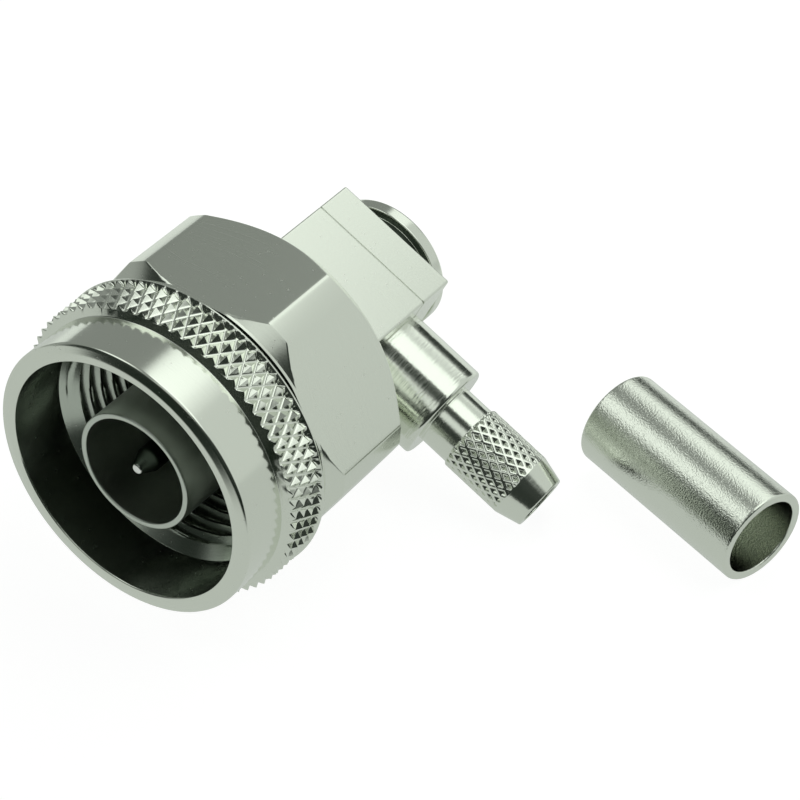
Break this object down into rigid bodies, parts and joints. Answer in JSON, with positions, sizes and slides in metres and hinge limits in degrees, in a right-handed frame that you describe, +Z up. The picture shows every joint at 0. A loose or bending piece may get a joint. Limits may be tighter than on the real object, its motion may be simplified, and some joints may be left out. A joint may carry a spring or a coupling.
{
  "type": "n type connector",
  "caption": "Right-angle coaxial plug with a knurled hex coupling nut, square elbow block, crimp stem and a loose crimp ferrule.",
  "frame": {"origin": "middle of the box around the plug and its ferrule, on the surface that they rest on", "axes": "+Z up; the nut's mouth faces -Y, leaning up 5 degrees; the cable stem points to +X and dips 23 degrees to the surface"},
  "size_m": [0.0418, 0.0322, 0.0207],
  "materials": {
    "nickel_plate": "bright nickel plate on turned and milled brass",
    "nickel_satin": "satin nickel plate on annealed tube",
    "spring_bronze": "plain spring bronze",
    "silver_plate": "bright silver plate",
    "insulator_white": "matt white fluoropolymer",
    "silicone": "dark silicone rubber"
  },
  "bodies": {
    "root": {"contact_body": "nickel_plate", "snap_ring": "spring_bronze", "gasket": "silicone", "centre_pin": "silver_plate", "front_insulator": "insulator_white", "elbow_block": "nickel_plate", "rear_insulator": "insulator_white", "rear_cap": "nickel_plate", "crimp_stem": "nickel_plate", "stem_insulator": "insulator_white", "crimp_ferrule": "nickel_satin"},
    "nut": {"coupling_nut": "nickel_plate"}
  },
  "joints": [
    {"name": "nut_spin", "type": "hinge", "parent": "root", "child": "nut", "pos_m": [-0.01033, -0.00471, 0.00985], "axis": [0, 0.996, -0.0897], "continuous": true}
  ]
}
